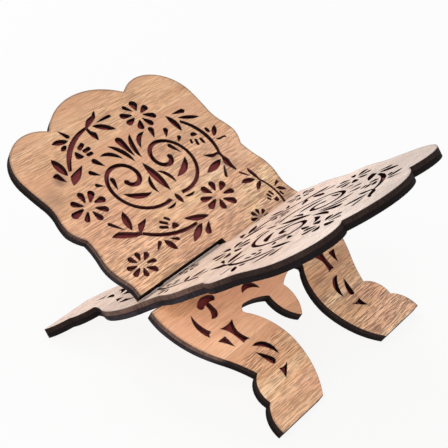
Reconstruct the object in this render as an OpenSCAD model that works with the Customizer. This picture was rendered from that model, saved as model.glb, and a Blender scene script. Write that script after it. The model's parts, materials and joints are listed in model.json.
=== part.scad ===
// Folding book stand: two identical flat boards that cross in half-width slots.
// Each board is a light fretwork layer glued on a maroon backing layer.
// Board plane: x runs along the crossing, y runs up the board, z points out
// of the carved face. The stand's origin is on the table, under the middle
// of the crossing, with X along the crossing and Z up.

/* [Boards] */
// Thickness of the light fretwork layer
face_t = 4.5; // [3.5:0.5:4.5]
// Thickness of the maroon backing layer
back_t = 4.5; // [3.5:0.5:4.5]

/* [Crossing] */
// Lean of each board from the vertical with the stand fully open
lean = 59; // [50:0.5:59]
// Height of the slot in each board
slot_w = 16.1; // [16:0.1:17]
// How far each slot runs past the middle of its board
slot_past = 0.2; // [0.2:0.1:1]

/* [Outline] */
// Top of the middle scallop above the crossing
top_y = 198.5; // [195:0.5:202]
// Radius of the middle scallop
top_r = 67.8; // [62:0.2:70]
// Radius of each side scallop
side_r = 38.9; // [37:0.1:39.5]
// Sideways position of the side scallop's centre
side_x = 72.4; // [71:0.1:74]
// Height of the side scallop's centre above the crossing
side_y = 146.2; // [142:0.1:148]
// Depth of the feet below the crossing
foot_y = 149.7; // [145:0.1:160]

/* [Ornament] */
// Width of every petal against its usual width
petal_fat = 1; // [0.8:0.05:1.1]
// Width of a petal's inner end
petal_root = 1.6; // [1:0.1:2]
// Size of the small flower at the left against the large ones
small_flower = 0.78; // [0.7:0.02:0.84]
// Size of the flower on the crossing against the large ones
crossing_flower = 0.58; // [0.5:0.02:0.66]

/* [Hidden] */
// Largest turn between neighbouring points of a drawn arc
arc_turn = 18;
// Longest straight step along a drawn arc
arc_step = 4;
// Height of the crossing above the table
axis_z = foot_y * cos(lean) + back_t * sin(lean);
// Centre of the middle scallop, and where it meets the side scallop
top_cy = top_y - top_r;
scallop_gap = norm([side_x, side_y - top_cy]);
notch_along = (top_r * top_r - side_r * side_r + scallop_gap * scallop_gap) / (2 * scallop_gap);
notch_off = sqrt(top_r * top_r - notch_along * notch_along);
scallop_dir = [side_x, side_y - top_cy] / scallop_gap;
notch = [0, top_cy] + notch_along * scallop_dir + notch_off * [-scallop_dir[1], scallop_dir[0]];
// Angle each scallop turns through between its ends
side_turn = atan2(notch[1] - side_y, notch[0] - side_x);
top_turn = 90 - atan2(notch[1] - top_cy, notch[0]);
// Wood and stain colours
wood = [0.86, 0.68, 0.50];
maroon = [0.36, 0.12, 0.15];

// ---- drawing helpers ----

// Points of an arc from p to q, without q. The bulge b is the tangent of a
// quarter of the arc's angle, positive when the arc lies right of p to q.
function arc_points(p, q, b) =
  let(
    turn = 4 * atan(b),
    chord = norm(q - p),
    dir = (q - p) / chord,
    side = [dir[1], -dir[0]]
  )
  abs(b) < 0.001 ? [p] :
  let(
    r = chord / (2 * sin(turn / 2)),
    n = ceil(max(abs(turn) / arc_turn, abs(r * turn) * PI / 180 / arc_step)),
    c = (p + q) / 2 - side * r * cos(turn / 2)
  )
  [
    for (i = [0 : n - 1])
      let(a = turn * (i / n - 0.5))
      c + side * r * cos(a) + dir * r * sin(a)
  ];

// Open path through corners [x, y, bulge of the side that follows].
function arc_path(c) = [
  for (i = [0 : len(c) - 2])
    each arc_points([c[i][0], c[i][1]], [c[i + 1][0], c[i + 1][1]], c[i][2])
];

// Closed outline through such corners.
function arc_loop(c) = arc_path(concat(c, [c[0]]));

// Leaf pointed at both ends, bowed by r and by l to the right and left of p to q.
function leaf(p, q, r, l) =
  let(chord = norm(q - p))
  [[p[0], p[1], 2 * r / chord], [q[0], q[1], 2 * l / chord]];

// Curved blade: both sides bow right of p to q, by out and by inn.
function blade(p, q, out, inn) = leaf(p, q, out, -inn);

// Bar with round ends that reach p and q.
function bar(p, q, w) =
  let(
    dir = (q - p) / norm(q - p),
    half = w / 2 * [dir[1], -dir[0]],
    a = p + dir * w / 2,
    b = q - dir * w / 2
  )
  [
    [a[0] + half[0], a[1] + half[1], 0],
    [b[0] + half[0], b[1] + half[1], 1],
    [b[0] - half[0], b[1] - half[1], 0],
    [a[0] - half[0], a[1] - half[1], 1]
  ];

// Drop with its point at p and its round end reaching q.
function drop(p, q, w) =
  let(
    dir = (q - p) / norm(q - p),
    half = w / 2 * [dir[1], -dir[0]],
    c = q - dir * w / 2
  )
  [
    [p[0], p[1], 0.06],
    [c[0] + half[0], c[1] + half[1], 1],
    [c[0] - half[0], c[1] - half[1], 0.06]
  ];

// Petal from a blunt end at p to a round end that reaches q.
function petal(p, q, w) =
  let(
    dir = (q - p) / norm(q - p),
    side = [dir[1], -dir[0]],
    half = petal_fat * w / 2 * side,
    c = q - dir * petal_fat * w / 2,
    a = p + petal_root / 2 * side,
    b = p - petal_root / 2 * side
  )
  [
    [a[0], a[1], 0.06],
    [c[0] + half[0], c[1] + half[1], 1],
    [c[0] - half[0], c[1] - half[1], 0.06],
    [b[0], b[1], 0.7]
  ];

module cut(corners) {
  polygon(arc_loop(corners));
}

module both_sides() {
  children();
  mirror([1, 0]) children();
}

// ---- outline ----

// Right half of the board's edge, from the pendant's tip up to the top.
edge = [
  [0, -88, 0.29],                            // tip of the pendant
  [10.5, -57.5, -0.11],                      // shoulder of the pendant
  [36, -49.3, -0.36],                        // crown of the arch
  [43.8, -54, -0.2],
  [40.5, -58.5, 0.18],                       // inside of the leg
  [26.2, -97, 0.185],
  [49.5, -foot_y, 0],                        // foot
  [105.5, -foot_y, 0.285],
  [93, -125, 0.37],                          // lower nick
  [80.8, -101, -0.06],                       // upper nick
  [94, -76, 0.03],                           // outside of the thigh
  [104.3, -58.5, 0.098],
  [113.4, -22, 0.08],
  [110.9, -4, -0.08],
  [106.2, 17.5, -0.06],                      // waist beside the crossing
  [108.6, 28, 0.165],
  [108.4, 54, -0.06],
  [105.6, 73, 0.13],                         // nick in the shoulder
  [113, 88, 0.085],
  [109.6, 105, -0.09],
  [108.7, 119, 0.03],
  [side_x + side_r, side_y, tan(side_turn / 4)],
  [notch[0], notch[1], tan(top_turn / 4)],
  [0, top_y, 0]
];

module outline() {
  half = arc_path(edge);
  last = len(half) - 1;
  polygon([
    for (p = half) p,
    [0, top_y],
    for (i = [last : -1 : 1]) [-half[i][0], half[i][1]]
  ]);
}

// Slot from the left edge to just past the middle.
module slot() {
  far = 130;
  translate([-far, -slot_w / 2]) square([far + slot_past, slot_w]);
}

// ---- ornament ----

// Petals of each flower, from its centre: [inner end, outer end, width].
top_flower = [
  [[-1.1, 6.9], [-6.2, 15], 4.8],
  [[3.4, 5.2], [7.9, 15.6], 8.6],
  [[5.9, 1], [16.8, 4.4], 6.2],
  [[6.1, -2], [16.4, -9.3], 6.4],
  [[1.7, -5.4], [5.8, -15.7], 6.8],
  [[-2.6, -5.7], [-9.5, -14.1], 6.8],
  [[-5.8, -1], [-16.9, -3.4], 6.2],
  [[-5.4, 2.9], [-16.7, 7.5], 6.6]
];
left_flower = [
  [[-0.4, 5.3], [2.5, 15.8], 6.4],
  [[4.2, 3.3], [13.7, 11.6], 6.6],
  [[7.3, 0.7], [18.6, -0.6], 6.6],
  [[3.8, -4.2], [12.8, -11.3], 6.4],
  [[-1.3, -5.8], [-0.1, -16.3], 6.6],
  [[-5.8, -4], [-14, -11], 5],
  [[-7.1, 0.7], [-21.4, -1], 6.8],
  [[-4.6, 3.4], [-12.6, 11], 6.4]
];
wide_flower = [
  [[2.4, 5.2], [6.2, 14.6], 6.8],
  [[7.4, 2.6], [17.5, 7.9], 6.4],
  [[7.5, -1.8], [18.9, -4.4], 5.3],
  [[2.3, -6], [11.4, -14.9], 7.4],
  [[-1.5, -4.8], [-6.1, -14.5], 6.8],
  [[-5.6, -2.4], [-18.4, -6.6], 6.2],
  [[-6.6, 1.3], [-18.8, 4.3], 6.2],
  [[-2.7, 4.9], [-8, 14.1], 7.6]
];

module flower(x, y, size, petals) {
  translate([x, y]) scale([size, size])
    for (p = petals) cut(petal(p[0], p[1], p[2]));
}

// Vine across the top left of the panel.
vine_top = [
  // stem
  [[-62.7, 134.6, -0.19], [-16, 162, 0], [-16, 164.5, 0.262], [-66.3, 135, 0.5]],
  [[-16.5, 162.3, 0.06], [0, 167.8, 0.1], [5.6, 174.7, 0.12],
   [-1, 171.4, 0.05], [-9, 169.8, 0.1], [-16, 164.4, 0]],
  [[-17.6, 163.4, 0.1], [-18.9, 153, 0.08], [-16.3, 146.7, 0.1],
   [-11.9, 154.4, 0.05], [-15.2, 158.5, 0], [-15, 162.5, 0]],
  leaf([-9.8, 162], [8.2, 148.2], 2.7, 4),
  drop([-3, 163.2], [15.5, 162.9], 3),
  // leaves at the foot
  leaf([-70.9, 152.6], [-70.6, 131.6], 4.1, 4.5),
  [[-76, 127, 0.06], [-76.6, 138.2, 0.3], [-83.4, 137, 0.12]],
  [[-51, 133.6, 0.03], [-68.5, 130, 0.15], [-73.6, 121, 0.1], [-62, 124.3, 0.06]],
  // outer bud
  leaf([-58.2, 164.8], [-41.8, 160.4], 2.7, 3.4),
  drop([-42.7, 173.8], [-38.2, 162.5], 4.6),
  leaf([-55.8, 154.6], [-47.2, 157.7], 2.2, 2.2),
  // inner bud
  [[-45.5, 148.2, 0.2], [-49.9, 141.2, 0.28], [-41.8, 139.9, 0.12]],
  bar([-41, 147.9], [-31.9, 151.7], 4.1),
  bar([-39.2, 144], [-29.6, 144.9], 3.9),
  bar([-39.1, 139.5], [-31.3, 139.4], 3.5)
];

// Vine down the right of the panel.
vine_right = [
  // stem
  [[70.2, 121.8, -0.288], [74.6, 76.5, 0], [77.8, 76.5, 0.342], [72.5, 124, 0.5]],
  [[74, 77.5, 0], [74, 71.5, 0], [70.2, 65, 0.05],
   [74.2, 53.6, 0.4], [76.4, 54.6, -0.1], [78.5, 66, 0.15],
   [77, 71.5, 0], [77.6, 77.5, 0]],
  [[75, 78, 0], [70, 78.6, 0.05], [59.2, 82.2, 0.02],
   [64.6, 76, 0.15], [72, 75.8, -0.05], [75, 74.5, 0]],
  leaf([46.5, 65.8], [71.2, 70.2], 3.9, 2.9),
  drop([69.2, 64.4], [59.2, 52.6], 3),
  // leaves at the foot
  leaf([63, 135.4], [63.5, 114], 2, 4.9),
  [[70.4, 133.9, 0.04], [83, 128.9, 0.1], [86.6, 131, 0.2], [84.5, 134, 0.03]],
  leaf([72.5, 127.6], [94, 117.8], 2.2, 2.2),
  // outer bud
  leaf([87.3, 93], [99.2, 102.2], 2.6, 2.6),
  bar([88, 105], [87.2, 98.9], 3.9),
  [[87, 89.8, 0.2], [90, 86.9, 0.02], [96, 87, 0],
   [97.8, 85.6, 0.3], [98.8, 88, 0.1], [92.5, 88.8, 0.05]],
  // inner bud
  [[66.8, 104, 0.1], [74.3, 103.2, 1.1]],
  bar([63.4, 102.6], [60.6, 97.9], 2.6),
  bar([68.1, 100.4], [65, 93.4], 3),
  bar([73.2, 99], [72.4, 92], 3.4)
];

// Vine across the lower left of the panel.
vine_low = [
  // stem
  [[-60.5, 51, 0.228], [-8, 31, 0.7], [-7.6, 33.8, -0.19], [-57.3, 52.3, 0]],
  [[-85.2, 63.2, 0.08], [-73, 55, 0.1], [-60, 50.6, 0],
   [-58, 53.5, 0], [-63, 55.6, 0.04], [-76, 64, 0.12]],
  [[-60, 51.5, 0], [-57.5, 53, 0.05], [-49.5, 57.2, 0.1],
   [-44.2, 61.3, 0.02], [-55, 60.5, 0.1], [-60, 54.4, 0]],
  leaf([-56.8, 77.8], [-64.3, 58.8], 4.5, 2.9),
  drop([-69.3, 62.6], [-77.8, 75.6], 3.4),
  // leaves at the foot
  leaf([-13.8, 42.3], [10.2, 32.4], 4.5, 1.8),
  leaf([-3, 29.6], [-25, 19.4], 3.5, 2.9),
  [[4.7, 27.9, 0.05], [-7, 22, 0.1], [-7.6, 18.4, 0.2], [-3, 17.6, 0.05]],
  // outer bud
  leaf([-47.5, 36], [-43.8, 22.6], 3.3, 3.3),
  drop([-41.6, 34.4], [-34, 29.2], 3.6),
  drop([-61, 31], [-51, 37.4], 3.4),
  // inner bud
  [[-31.8, 40, 0.1], [-23.4, 39, 0.5], [-26.6, 44.8, 0.12]],
  bar([-41, 48], [-33.3, 43.2], 3.2),
  bar([-36.7, 52.2], [-30.6, 46], 3.2),
  bar([-29.6, 53.2], [-26, 48.2], 3)
];

// Small vine that starts at the crossing and climbs the right edge.
vine_edge = [
  // stem
  [[85, 33.5, -0.25], [83.6, -3.6, 0.6], [86.4, -4.6, 0.242], [87.2, 33.5, 0]],
  [[85, 33, 0], [87.2, 33, 0], [87.6, 36, 0.15],
   [87.9, 42.5, 0.05], [86.6, 48.8, 0.2], [83.9, 45.5, 0.05],
   [84.2, 38.5, 0.1], [85.3, 35.5, 0]],
  leaf([74.4, 25.4], [86.4, 31.8], 1.9, 2.5),
  leaf([66.8, 39.9], [82.8, 35.4], 2.2, 3.5),
  drop([82, 40.3], [75, 49.8], 2.3),
  // leaves at the foot
  leaf([88.5, -8.5], [99, -17], 2.9, 2.9),
  leaf([84.6, -9], [85.8, -23], 2.7, 2.7),
  leaf([80.6, -7.5], [69.6, -14.5], 2.7, 2.7),
  // outer bud
  leaf([93.2, 17.4], [101.6, 10.7], 1.8, 2.3),
  drop([93.4, 19.2], [101.8, 22.4], 2.8),
  bar([93.2, 12.9], [93.6, 7.6], 2.5),
  // inner bud
  [[79.9, 9.4, 0.1], [81, 6, 0.3], [84.3, 6.1, 0.15], [85.7, 10.3, 0]],
  bar([75.4, 14.4], [77.4, 10.4], 2.3),
  bar([78.6, 17.4], [80.3, 12.4], 2.5),
  bar([83.2, 18.8], [84.2, 13], 2.7)
];

// Scroll that winds inwards from its wide end at angle a0 to a bulb at a1.
module scroll(c, a0, r0, a1, r1, w0, w1) {
  n = 44;
  k = ln(r1 / r0);
  outer = [
    for (i = [0 : n])
      let(a = a0 + (a1 - a0) * i / n, r = r0 * exp(k * i / n), w = w0 + (w1 - w0) * i / n)
      c + (r + w / 2) * [cos(a), sin(a)]
  ];
  inner = [
    for (i = [n : -1 : 0])
      let(a = a0 + (a1 - a0) * i / n, r = r0 * exp(k * i / n), w = w0 + (w1 - w0) * i / n)
      c + (r - w / 2) * [cos(a), sin(a)]
  ];
  polygon(concat(outer, inner));
  translate(c + r1 * [cos(a1), sin(a1)]) circle(d = 5.6, $fn = 24);
}

// Leaf-and-scroll medallion, the same on both sides of the middle.
module medallion() {
  cut(drop([0, 116], [0, 140.5], 8));
  cut(leaf([0, 71], [0, 107], 4.4, 4.4));
  cut(leaf([0, 54.5], [0, 66.5], 2.6, 2.6));
  both_sides() {
    scroll([24, 100.5], -114, 40.5, 338, 5.6, 3.4, 5);
    cut(blade([14.8, 137.5], [4.6, 111.5], 5.6, 0.4));
    cut(blade([29.5, 132.5], [12.4, 119.6], 6, 1.4));
    cut(drop([33, 122], [39, 133.5], 6));
    cut(drop([44, 116.5], [51.8, 125], 5));
    cut(drop([50.5, 106.5], [57, 111.5], 4));
    cut(blade([17.5, 78.5], [42, 91], 6.2, 0));
    cut(drop([43, 96.5], [38, 109.7], 4.6));
    cut(blade([5.2, 93], [11.6, 74.5], -1, -5));
    cut(blade([6, 59], [19, 58], 2.6, 0));
  }
}

// Cut-outs of one leg, on the right side of the board.
leg_cuts = [
  // cap
  [[57.5, -31.3, -0.23], [71.5, -32, 0.6], [75.3, -27.5, 0.38], [54.6, -27, 0.7]],
  [[63, -28.5, 0], [62.6, -38, 0.25], [66, -43.6, 0.25],
   [73.2, -43, -0.15], [68.3, -37, 0], [67, -28.5, 0]],
  // horn
  [[88.6, -54.3, 0.35], [86.3, -30.2, -0.19], [83.5, -51, 0], [87, -51.8, 0]],
  // waisted bar
  [[74.8, -53.8, -0.14], [58.2, -53.6, -0.15], [63.4, -64, -0.12], [59.8, -75.2, -0.2],
   [67.6, -74.9, -0.03], [69.2, -63, -0.15]],
  // wedge
  [[85.6, -61, 0], [76.8, -61, 0.05], [77.1, -72.6, -0.06]],
  // crescent
  [[63.8, -81.4, 0.65], [49.6, -100, -0.2]],
  // drop
  [[66.2, -87.5, 0.12], [56.6, -100.6, 0.6], [62.3, -103.2, 0.04]],
  // wedge
  [[61, -109.6, -0.22], [50.2, -109.6, 0.03], [62.9, -119, -0.08]],
  // fin by the pendant
  [[29.6, -41.6, 0.88], [11.6, -47.2, -0.31]]
];

module ornament() {
  flower(39, 149.7, 1, top_flower);
  flower(-78, 97.4, 1, left_flower);
  flower(34.5, 42.9, 1, wide_flower);
  flower(-83.5, 29.4, small_flower, wide_flower);
  flower(51.6, 3.1, crossing_flower, wide_flower);
  for (c = concat(vine_top, vine_right, vine_low, vine_edge)) cut(c);
  medallion();
  both_sides()
    for (c = leg_cuts) cut(c);
}

// ---- boards ----

module fretwork() {
  color(wood)
    linear_extrude(face_t)
      difference() {
        outline();
        slot();
        ornament();
      }
}

module backing() {
  color(maroon)
    translate([0, 0, -back_t])
      linear_extrude(back_t)
        difference() {
          outline();
          slot();
        }
}

// Board whose book rest leans away towards +Y.
module far_leaf() {
  translate([0, 0, axis_z]) rotate([90 - lean, 0, 0]) children();
}

// The same board turned half a turn about the vertical.
module near_leaf() {
  rotate([0, 0, 180]) far_leaf() children();
}

module far_leaf_fretwork() {
  far_leaf() fretwork();
}

module far_leaf_backing() {
  far_leaf() backing();
}

module near_leaf_fretwork() {
  near_leaf() fretwork();
}

module near_leaf_backing() {
  near_leaf() backing();
}

far_leaf_fretwork();
far_leaf_backing();
near_leaf_fretwork();
near_leaf_backing();
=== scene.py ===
"""Looks of a folding book stand: two carved boards that cross through each other."""

import json
import math

import bpy
from mathutils import Matrix, Vector

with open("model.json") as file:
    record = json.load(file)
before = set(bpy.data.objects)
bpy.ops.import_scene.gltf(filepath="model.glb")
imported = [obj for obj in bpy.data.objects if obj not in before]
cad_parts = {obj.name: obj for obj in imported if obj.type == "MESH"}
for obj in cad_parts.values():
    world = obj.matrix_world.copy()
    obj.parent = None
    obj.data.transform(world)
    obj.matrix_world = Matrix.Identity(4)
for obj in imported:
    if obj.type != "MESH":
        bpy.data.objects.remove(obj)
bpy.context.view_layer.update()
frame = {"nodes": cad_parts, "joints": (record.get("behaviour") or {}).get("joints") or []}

# ---- board frame ------------------------------------------------------------------
# Each board has its own millimetres: X across, Y up the board from the crossing, and
# Z out of the book face, from the joint between the board's two layers.
MM_PER_M = 1000
LEAN = math.radians(59)  # of each board, from upright
HINGE_Z = frame["joints"][0]["pos_m"][2]
FAR_FACE = Vector((0, -math.cos(LEAN), math.sin(LEAN)))
NEAR_FACE = Vector((0, math.cos(LEAN), math.sin(LEAN)))
FACE_Z = 4.5


def linear(code):
    """The linear colour of an sRGB hex code."""
    parts = [int(code[i:i + 2], 16) / 255 for i in (0, 2, 4)]
    return [p / 12.92 if p <= 0.04045 else ((p + 0.055) / 1.055) ** 2.4 for p in parts] + [1]


def shades(*stops):
    """Colour ramp stops from pairs of a position and a hex code."""
    return [(at, linear(code)) for at, code in stops]


class Shader:
    """A material's node tree, with short calls for the nodes that the woods use."""

    def __init__(self, name):
        self.material = bpy.data.materials.new(name)
        self.material.use_nodes = True
        self.tree = self.material.node_tree
        self.tree.nodes.clear()

    def node(self, kind, **values):
        made = self.tree.nodes.new("ShaderNode" + kind)
        for key, value in values.items():
            setattr(made, key, value)
        return made

    def put(self, socket, value):
        """Links a socket to another, or sets it to a plain value."""
        if isinstance(value, bpy.types.NodeSocket):
            self.tree.links.new(value, socket)
        elif value is not None:
            socket.default_value = value

    def board(self, near):
        """The shaded point in board millimetres."""
        place = self.node("Mapping")
        turn = (math.pi / 2 - LEAN, 0, math.pi) if near else (LEAN - math.pi / 2, 0, 0)
        rise = HINGE_Z * MM_PER_M
        place.inputs["Rotation"].default_value = turn
        place.inputs["Scale"].default_value = (MM_PER_M, MM_PER_M, MM_PER_M)
        place.inputs["Location"].default_value = (0, -rise * math.cos(LEAN), -rise * math.sin(LEAN))
        self.put(place.inputs["Vector"], self.node("TexCoord").outputs["Object"])
        return place.outputs[0]

    def split(self, vector):
        made = self.node("SeparateXYZ")
        self.put(made.inputs[0], vector)
        return made.outputs

    def join(self, x, y):
        made = self.node("CombineXYZ")
        self.put(made.inputs[0], x)
        self.put(made.inputs[1], y)
        return made.outputs[0]

    def stretch(self, vector, scale, shift):
        place = self.node("Mapping")
        place.inputs["Scale"].default_value = scale
        place.inputs["Location"].default_value = shift
        self.put(place.inputs["Vector"], vector)
        return place.outputs[0]

    def noise(self, vector, scale, shift, detail=3, rough=0.55):
        """Soft noise. scale is in features to the millimetre along each axis."""
        made = self.node("TexNoise")
        self.put(made.inputs["Vector"], self.stretch(vector, scale, shift))
        made.inputs["Scale"].default_value = 1
        made.inputs["Detail"].default_value = detail
        made.inputs["Roughness"].default_value = rough
        return made.outputs["Fac"]

    def pores(self, vector, scale, shift, radius):
        """Scattered dashes, one to a cell: 1 inside a dash, 0 outside.

        radius is that of the largest dash, in cells."""
        made = self.node("TexVoronoi", voronoi_dimensions="2D")
        self.put(made.inputs["Vector"], self.stretch(vector, scale, shift))
        made.inputs["Scale"].default_value = 1
        chance = self.split(made.outputs["Color"])[0]
        size = self.span(chance, 0, 1, 0.35 * radius, radius, smooth=False)
        return self.span(self.math("DIVIDE", made.outputs["Distance"], size), 1.1, 0.7)

    def math(self, kind, a, b=None):
        made = self.node("Math", operation=kind)
        self.put(made.inputs[0], a)
        self.put(made.inputs[1], b)
        return made.outputs[0]

    def times(self, a, b):
        return self.math("MULTIPLY", a, b)

    def largest(self, first, *others):
        for other in others:
            first = self.math("MAXIMUM", first, other)
        return first

    def blend(self, a, share, b):
        """The given share of a, with b for the rest."""
        return self.math("ADD", self.times(a, share), self.times(b, 1 - share))

    def span(self, value, low, high, to_low=0, to_high=1, smooth=True):
        """value taken from low..high to to_low..to_high, held at the ends."""
        made = self.node("MapRange", interpolation_type="SMOOTHSTEP" if smooth else "LINEAR")
        names = ("Value", "From Min", "From Max", "To Min", "To Max")
        for name, given in zip(names, (value, low, high, to_low, to_high)):
            self.put(made.inputs[name], given)
        return made.outputs[0]

    def mix(self, share, a, b):
        """Colour a, with the given share of colour b over it."""
        made = self.node("Mix", data_type="RGBA")
        self.put(made.inputs[0], share)
        self.put(made.inputs[6], a)
        self.put(made.inputs[7], b)
        return made.outputs[2]

    def ramp(self, value, stops, kind="LINEAR"):
        made = self.node("ValToRGB")
        made.color_ramp.interpolation = kind
        points = made.color_ramp.elements
        while len(points) < len(stops):
            points.new(0.5)
        for point, (at, colour) in zip(points, stops):
            point.position = at
            point.color = colour
        self.put(made.inputs[0], value)
        return made.outputs[0]

    def rounded(self, radius):
        """The normal with edges softened over radius."""
        made = self.node("Bevel", samples=4)
        made.inputs["Radius"].default_value = radius
        return made.outputs[0]

    def rim(self, reach, start=0.99, full=0.86):
        """1 on an edge, falling to 0 within the given reach of it.

        start and full are how far the softened normal still agrees with the flat one
        where the rim starts and where it is full."""
        turned = self.node("VectorMath", operation="DOT_PRODUCT")
        self.put(turned.inputs[0], self.rounded(reach))
        self.put(turned.inputs[1], self.node("NewGeometry").outputs["True Normal"])
        return self.span(turned.outputs["Value"], start, full)

    def finish(self, colour, roughness, height, depth, normal=None, specular=0.5, sheen=0):
        """The material from its colour, roughness, bump height and depth, and gloss."""
        shader = self.node("BsdfPrincipled")
        bump = self.node("Bump")
        bump.inputs["Distance"].default_value = depth
        bump.inputs["Strength"].default_value = 1
        self.put(bump.inputs["Height"], height)
        self.put(bump.inputs["Normal"], normal)
        self.put(shader.inputs["Base Color"], colour)
        self.put(shader.inputs["Roughness"], roughness)
        self.put(shader.inputs["Normal"], bump.outputs[0])
        shader.inputs["Specular IOR Level"].default_value = specular
        shader.inputs["Sheen Weight"].default_value = sheen
        shader.inputs["Sheen Roughness"].default_value = 0.35
        self.put(self.node("OutputMaterial").inputs["Surface"], shader.outputs[0])
        return self.material


# ---- veneer of the book faces -----------------------------------------------------
# The middle scallop and the side ones at the top of a board: centre x, centre y and radius.
SCALLOPS = [(0, 130.7, 67.8), (72.4, 146.2, 38.9)]

# Smoke stains left on a face beside its cuts, and on the near face also painted shade: x, y, reach
# and strength.
SCORCH_FAR = [
    (-81, 131, 10, 0.75),
    (-99, 119, 20, 0.4),
    (73, 64, 9, 0.55),
    (30, 66, 8, 0.45),
    (52, 2, 13, 0.5),
    (98, 5, 10, 0.55),
    (-68, -91, 7, 0.25),
]
SCORCH_AND_SHADE_NEAR = [
    # The first two, wide spots are painted shade, darkening the top of the near face towards its
    # tip; the other two are smoke stains.
    (-90, 165, 115, 0.45),
    (-5, 205, 75, 0.45),
    (60, 60, 9, 0.3),
    (-30, 120, 8, 0.25),
]

# Bands of veneer, on a scale from just below a board's bottom to just above its top.
# From each height: how dark the veneer is, how many pores it has and how rosy it is.
BAND_BOTTOM = -160
BAND_TOP = 202
FAR_BANDS = [
    (-160, 0.45, 1, 0.1),
    (-132, 0.22, 1, 0.1),
    (-86, 0.6, 0.3, 0.4),
    (-76, 0.05, 0.3, 0.6),
    (-28, 0.1, 0.5, 0.4),
    (2, 0.05, 0.95, 0),
    (58, 0.3, 0.8, 0.1),
    (98, 0.6, 0.7, 0.1),
    (121, 0.8, 0.45, 0.2),
    (142, 0.55, 0.75, 0),
    (176, 0.8, 0.5, 0),
]
NEAR_BANDS = [
    (-160, 0.2, 0.8, 0),
    (-110, 0.1, 0.9, 0),
    (-60, 0.2, 0.5, 0.3),
    (0, 0.05, 0.7, 0),
    (55, 0.02, 0.6, 0),
    (100, 0.1, 0.7, 0.1),
    (150, 0.05, 0.6, 0),
]


def veneer_bands(s, x, y, bands):
    """How dark, how porous and how rosy the veneer is, and 1 on the right leg, else 0.

    The right leg has more pores than its bands say, and is less dark and less rosy."""
    height = BAND_TOP - BAND_BOTTOM
    level = s.math("DIVIDE", s.math("SUBTRACT", y, BAND_BOTTOM), height)
    stops = [((t - BAND_BOTTOM) / height, (dark, pores, rosy, 1)) for t, dark, pores, rosy in bands]
    band = s.node("SeparateColor")
    s.put(band.inputs[0], s.ramp(level, stops, "CONSTANT"))
    right_leg = s.times(s.span(x, 15, 45), s.span(y, -15, -25))
    dark = s.times(band.outputs[0], s.span(right_leg, 0, 1, 1, 0.3))
    pores = s.largest(band.outputs[1], s.times(right_leg, 0.85))
    rosy = s.times(band.outputs[2], s.span(right_leg, 0, 1, 1, 0.15))
    return dark, pores, rosy, right_leg


def smoke_and_shade(s, at, scorch_and_shade):
    """How much smoke stain, and on the near face painted shade, lies on a point of the face."""
    spots = []
    for x, y, reach, strength in scorch_and_shade:
        off = s.node("VectorMath", operation="DISTANCE")
        s.put(off.inputs[0], at)
        off.inputs[1].default_value = (x, y, FACE_Z)
        spots.append(s.span(off.outputs["Value"], reach, 0, 0, strength))
    return s.largest(*spots)


def outline_burn(s, x, y):
    """1 on the edge of the top scallops and the sides, else 0. It is burnt wider than the cuts."""
    across = s.math("ABSOLUTE", x)
    gaps = []
    for centre_x, centre_y, radius in SCALLOPS:
        above = s.math("MAXIMUM", s.math("SUBTRACT", y, centre_y), 0)
        way = s.join(s.math("SUBTRACT", across, centre_x), above)
        off = s.node("VectorMath", operation="LENGTH")
        s.put(off.inputs[0], way)
        gaps.append(s.math("SUBTRACT", radius, off.outputs["Value"]))
    top = s.times(s.span(s.largest(*gaps), 7, 5), s.span(y, 112, 125))
    sides = s.span(across, 99, 103)
    return s.times(s.rim(0.0034, 0.998, 0.95), s.largest(top, sides))


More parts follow.
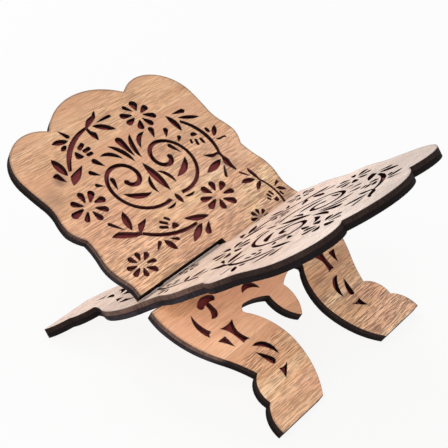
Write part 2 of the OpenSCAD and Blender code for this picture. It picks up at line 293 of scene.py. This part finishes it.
def face_wood(name, near, seed, bands, scorch_and_shade, pale):
    """Veneered book face: pale open-grained wood, grain across the board."""
    s = Shader(name)
    at = s.board(near)
    x, y, _ = s.split(at)
    dark, pores, rosy, right_leg = veneer_bands(s, x, y, bands)

    # The grain lines run along X and drift a little up and down.
    drift = s.noise(at, (0.008, 0.03, 0.03), (seed, 0, 0), detail=2)
    line = s.join(x, s.math("ADD", y, s.times(drift, 5)))
    fibre = s.noise(line, (0.03, 0.95, 1), (seed, 3, 0), detail=6, rough=0.7)
    broad = s.noise(line, (0.006, 0.08, 1), (seed, 9, 0), detail=3, rough=0.5)
    streak = s.noise(line, (0.016, 0.75, 1), (seed, 71, 0), detail=2, rough=0.5)
    hair = s.noise(line, (0.045, 1.3, 1), (seed, 21, 0), detail=1, rough=0.5)
    row = s.noise(line, (0.01, 0.85, 1), (seed, 81, 0), detail=1, rough=0.4)
    gap = s.noise(line, (0.065, 0.8, 1), (seed, 91, 0), detail=1, rough=0.5)
    short_pore = s.pores(line, (0.055, 0.9, 1), (seed, 41, 0), 0.34)
    mid_pore = s.pores(line, (0.034, 0.8, 1), (seed, 33, 0), 0.28)
    long_pore = s.pores(line, (0.018, 0.5, 1), (seed, 51, 0), 0.22)

    # Open pores are dark dashes, single or in broken rows. Streaks are paler.
    patch = s.noise(at, (0.018, 0.014, 1), (seed, 31, 0), detail=2)
    openness = s.times(s.span(patch, 0.35, 0.6, 0.65, 0.95), pores)
    rows = s.times(s.span(row, 0.51, 0.54, 0, 0.74), s.span(gap, 0.42, 0.52))
    long_pore = s.times(long_pore, s.span(right_leg, 0, 1, 0.5, 1))
    dashes = s.largest(rows, s.times(mid_pore, 0.7), s.times(short_pore, 0.95), long_pore)
    dashes = s.times(dashes, openness)
    hairs = s.span(hair, 0.56, 0.61, 0, 0.8)
    streaks = s.times(s.largest(s.span(streak, 0.54, 0.63), hairs), openness)

    # Colour of the clean wood: the fibre and rosy patches. The pale whitish wash over it is painted
    # sheen, on the near face only.
    blush = s.noise(at, (0.011, 0.02, 1), (seed, 57, 0), detail=2)
    share = s.span(s.blend(broad, 0.45, fibre), 0.37, 0.63, smooth=False)
    colour = s.ramp(share, shades((0, "AC784E"), (0.3, "D8A97B"), (0.62, "ECC498"), (1, "F8DFBA")))
    colour = s.mix(s.span(blush, 0.42, 0.6, 0, 0.5), colour, linear("E2A688"))
    # Painted sheen: a pale whitish wash on the near face, stronger towards its top.
    colour = s.mix(s.span(y, 40, 130, pale, 1.5 * pale), colour, linear("EBDAD2"))
    colour = s.mix(rosy, colour, linear("E8B294"))
    colour = s.mix(dark, colour, linear("C08D69"))

    # Grain, smoke stains with painted shade on the near face, and burnt edges over it.
    colour = s.mix(s.times(streaks, 0.3), colour, linear("98653F"))
    colour = s.mix(s.times(dashes, 0.95), colour, linear("5C351A"))
    # Smoke stains, and the near face's painted shade, in one dark brown.
    colour = s.mix(smoke_and_shade(s, at, scorch_and_shade), colour, linear("6A4A38"))
    colour = s.mix(s.times(s.rim(0.0011), 0.92), colour, linear("2A1812"))
    colour = s.mix(s.times(outline_burn(s, x, y), 0.8), colour, linear("3A2C26"))

    roughness = s.span(fibre, 0.3, 0.7, 0.36, 0.48, smooth=False)
    height = s.math("SUBTRACT", s.times(fibre, 0.5), dashes)
    return s.finish(colour, roughness, height, 0.0001, s.rounded(0.0004), specular=0.75, sheen=0.25)


# ---- the other surfaces -----------------------------------------------------------
def back_wood(name, near, seed):
    """Plain underside: smoother, darker board with a faint grain."""
    s = Shader(name)
    at = s.board(near)
    fibre = s.noise(at, (0.02, 0.45, 1), (seed, 0, 0), detail=5, rough=0.65)
    broad = s.noise(at, (0.008, 0.05, 1), (seed, 7, 0))
    pore = s.noise(at, (0.07, 0.7, 1), (seed, 17, 0), rough=0.6)
    dashes = s.span(pore, 0.58, 0.7)
    share = s.span(s.blend(broad, 0.5, fibre), 0.35, 0.65, smooth=False)
    colour = s.ramp(share, shades((0, "AD7F5A"), (0.5, "C4976F"), (1, "D8B28C")))
    colour = s.mix(s.times(dashes, 0.4), colour, linear("7C5034"))
    colour = s.mix(s.times(s.rim(0.0007), 0.7), colour, linear("4A2F24"))
    height = s.math("SUBTRACT", s.times(fibre, 0.5), dashes)
    return s.finish(colour, 0.55, height, 0.00012, s.rounded(0.0004))


def burnt_wall(name, near, light, deep, seed):
    """Wall left by the cutting beam: burnt wood, striped through the sheet.

    A dark joint line parts the layers. Painted shade makes the walls near black towards the top
    of the board and in the slot; they are also darker in the arch between the legs and on the
    shins."""
    s = Shader(name)
    at = s.board(near)
    x, y, depth = s.split(at)
    across = s.math("ABSOLUTE", x)
    stripe = s.noise(at, (0.9, 0.9, 0.06), (seed, 0, 0), detail=4, rough=0.6)
    cloud = s.noise(at, (0.05, 0.05, 0.2), (seed, 5, 0))
    share = s.span(s.blend(stripe, 0.55, cloud), 0.36, 0.64, smooth=False)
    colour = s.ramp(share, shades((0, deep), (1, light)))

    # Painted shade: near black towards the top of the board and in the slot. The arch between the
    # legs and the shins are darker too.
    top = s.span(y, 45, 120, 0, 0.82)
    slot = s.times(s.span(s.math("ABSOLUTE", y), 9.5, 8.5), s.span(x, 1.5, 0.5))
    arch = s.times(s.span(y, -42, -48), s.span(across, 66, 58))
    shins = s.span(y, -68, -80)
    painted_shade_and_darkening = s.largest(top, s.times(slot, 0.92), s.times(s.largest(arch, shins), 0.85))
    colour = s.mix(painted_shade_and_darkening, colour, linear("0E0A0A"))

    joint = s.span(s.math("ABSOLUTE", depth), 0.35, 0.12)
    colour = s.mix(joint, colour, linear("120C0B"))
    colour = s.mix(s.times(s.rim(0.0004), 0.35), colour, linear("4E382C"))
    height = s.math("SUBTRACT", stripe, joint)
    return s.finish(colour, 0.7, height, 0.00015, s.rounded(0.0003), specular=0.04)


def maroon_layer(name, near, seed):
    """Maroon face of the backing, which shows through the cut-outs."""
    s = Shader(name)
    at = s.board(near)
    blot = s.noise(at, (0.06, 0.09, 0.1), (seed, 0, 0), detail=4, rough=0.6)
    fine = s.noise(at, (1.1, 1.4, 1), (seed, 11, 0), detail=4, rough=0.7)
    share = s.span(s.blend(blot, 0.6, fine), 0.35, 0.65, smooth=False)
    colour = s.ramp(share, shades((0, "612326"), (0.55, "7E3133"), (1, "9A4242")))
    roughness = s.span(fine, 0.3, 0.7, 0.55, 0.8, smooth=False)
    return s.finish(colour, roughness, fine, 0.0001, specular=0.3)


# ---- which surface gets which material --------------------------------------------
MICRONS_PER_M = 1e6
FLAT = 0.7  # walls agree less than this with the direction of the book face
OUTLINE = 0.9  # the least size of the outline's ring of walls, against the largest ring


def wall_rings(mesh, face_way):
    """For each wall polygon the size of the ring of walls it belongs to, keyed by polygon index."""
    parent = {}

    def root(k):
        while parent[k] != k:
            parent[k] = parent[parent[k]]
            k = parent[k]
        return k

    keys = [tuple(round(c * MICRONS_PER_M) for c in v.co) for v in mesh.vertices]
    walls = [p for p in mesh.polygons if abs(p.normal.dot(face_way)) < FLAT]
    for p in walls:
        corners = [keys[v] for v in p.vertices]
        for k in corners:
            parent.setdefault(k, k)
        for k in corners[1:]:
            parent[root(k)] = root(corners[0])
    low, high = {}, {}
    for k in parent:
        r = root(k)
        low[r] = [min(a, b) for a, b in zip(low.get(r, k), k)]
        high[r] = [max(a, b) for a, b in zip(high.get(r, k), k)]
    size = {r: max(h - l for h, l in zip(high[r], low[r])) for r in low}
    return {p.index: size[root(keys[p.vertices[0]])] for p in walls}


def dress(node, face_way, front, back, outline_wall, cut_wall):
    """Gives a board layer its face, back, outline and cut-out materials."""
    mesh = frame["nodes"][node].data
    mesh.materials.clear()
    for material in (front, back, outline_wall, cut_wall):
        mesh.materials.append(material)
    rings = wall_rings(mesh, face_way)
    widest = max(rings.values())
    for p in mesh.polygons:
        if p.index in rings:
            p.material_index = 2 if rings[p.index] > OUTLINE * widest else 3
        else:
            p.material_index = 0 if p.normal.dot(face_way) > 0 else 1


# pale is the share of painted sheen on a face; the far face has none.
for side, near, way, seed, bands, scorch_and_shade, pale in (
    ("far", False, FAR_FACE, 2, FAR_BANDS, SCORCH_FAR, 0),
    ("near", True, NEAR_FACE, 47, NEAR_BANDS, SCORCH_AND_SHADE_NEAR, 0.48),
):
    front = face_wood(side + "_face_wood", near, seed, bands, scorch_and_shade, pale)
    back = back_wood(side + "_back_wood", near, seed + 5)
    maroon = maroon_layer(side + "_maroon_layer", near, seed)
    upper = burnt_wall(side + "_edge_upper", near, "6C544B", "382824", seed)
    lower = burnt_wall(side + "_edge_lower", near, "322C30", "151214", seed + 3)
    cut = burnt_wall(side + "_cut_wall", near, "5C312E", "2E1615", seed + 8)
    dress(side + "_leaf_fretwork", way, front, back, upper, cut)
    dress(side + "_leaf_backing", way, maroon, back, lower, lower)

# ---- floor ------------------------------------------------------------------------
FLOOR_SIZE = 14
FLOOR_DROP = 0.0004
FLOOR_GLOW = 0.953
GLOW_SHARE = 0.925
bpy.ops.mesh.primitive_plane_add(size=FLOOR_SIZE, location=(0, 0, -FLOOR_DROP))
floor = bpy.context.object
floor.name = "floor"
paint = Shader("floor_white")
matte = paint.node("BsdfDiffuse")
matte.inputs["Color"].default_value = (0.93, 0.93, 0.93, 1)
glow = paint.node("Emission")
glow.inputs["Strength"].default_value = FLOOR_GLOW
both = paint.node("MixShader")
both.inputs[0].default_value = GLOW_SHARE
paint.put(both.inputs[1], matte.outputs[0])
paint.put(both.inputs[2], glow.outputs[0])
paint.put(paint.node("OutputMaterial").inputs["Surface"], both.outputs[0])
floor.data.materials.append(paint.material)

# ---- light ------------------------------------------------------------------------
world = bpy.data.worlds.new("studio")
world.use_nodes = True
world.node_tree.nodes["Background"].inputs["Color"].default_value = (1, 1, 1, 1)
world.node_tree.nodes["Background"].inputs["Strength"].default_value = 0.6
bpy.context.scene.world = world


def softbox(name, place, target, size, power):
    """A large square lamp aimed at target."""
    lamp = bpy.data.lights.new(name, "AREA")
    lamp.shape = "SQUARE"
    lamp.size = size
    lamp.energy = power
    made = bpy.data.objects.new(name, lamp)
    made.location = place
    made.rotation_euler = (Vector(target) - Vector(place)).to_track_quat("-Z", "Y").to_euler()
    bpy.context.scene.collection.objects.link(made)


softbox("key", place=(-1.7, -0.7, 2.0), target=(0, 0, 0.08), size=1.6, power=37)
softbox("fill", place=(1.6, -1.2, 1.4), target=(0, 0, 0.08), size=1.6, power=4)
softbox("low_fill", place=(-1.6, -1.2, 0.4), target=(0, -0.05, 0.05), size=1.0, power=19)
softbox("rim", place=(0.6, 1.8, 1.7), target=(0, -0.1, 0.12), size=1.4, power=36)

# ---- camera -----------------------------------------------------------------------
CAMERA_PLACE = (-0.6898, -0.5599, 0.60896)
IMAGE_RIGHT = Vector((0.60440, -0.79463, -0.05711))
IMAGE_DOWN = Vector((-0.42374, -0.25994, -0.86768))
FORWARD = Vector((0.67464, 0.54863, -0.49382))
lens = bpy.data.cameras.new("camera")
lens.lens = 95.8
lens.sensor_width = 36
lens.clip_start = 0.01
camera = bpy.data.objects.new("camera", lens)
bpy.context.scene.collection.objects.link(camera)
turned = Matrix((IMAGE_RIGHT, -IMAGE_DOWN, -FORWARD)).transposed().to_4x4()
camera.matrix_world = Matrix.Translation(CAMERA_PLACE) @ turned
bpy.context.scene.camera = camera
bpy.context.scene.view_settings.view_transform = "Standard"
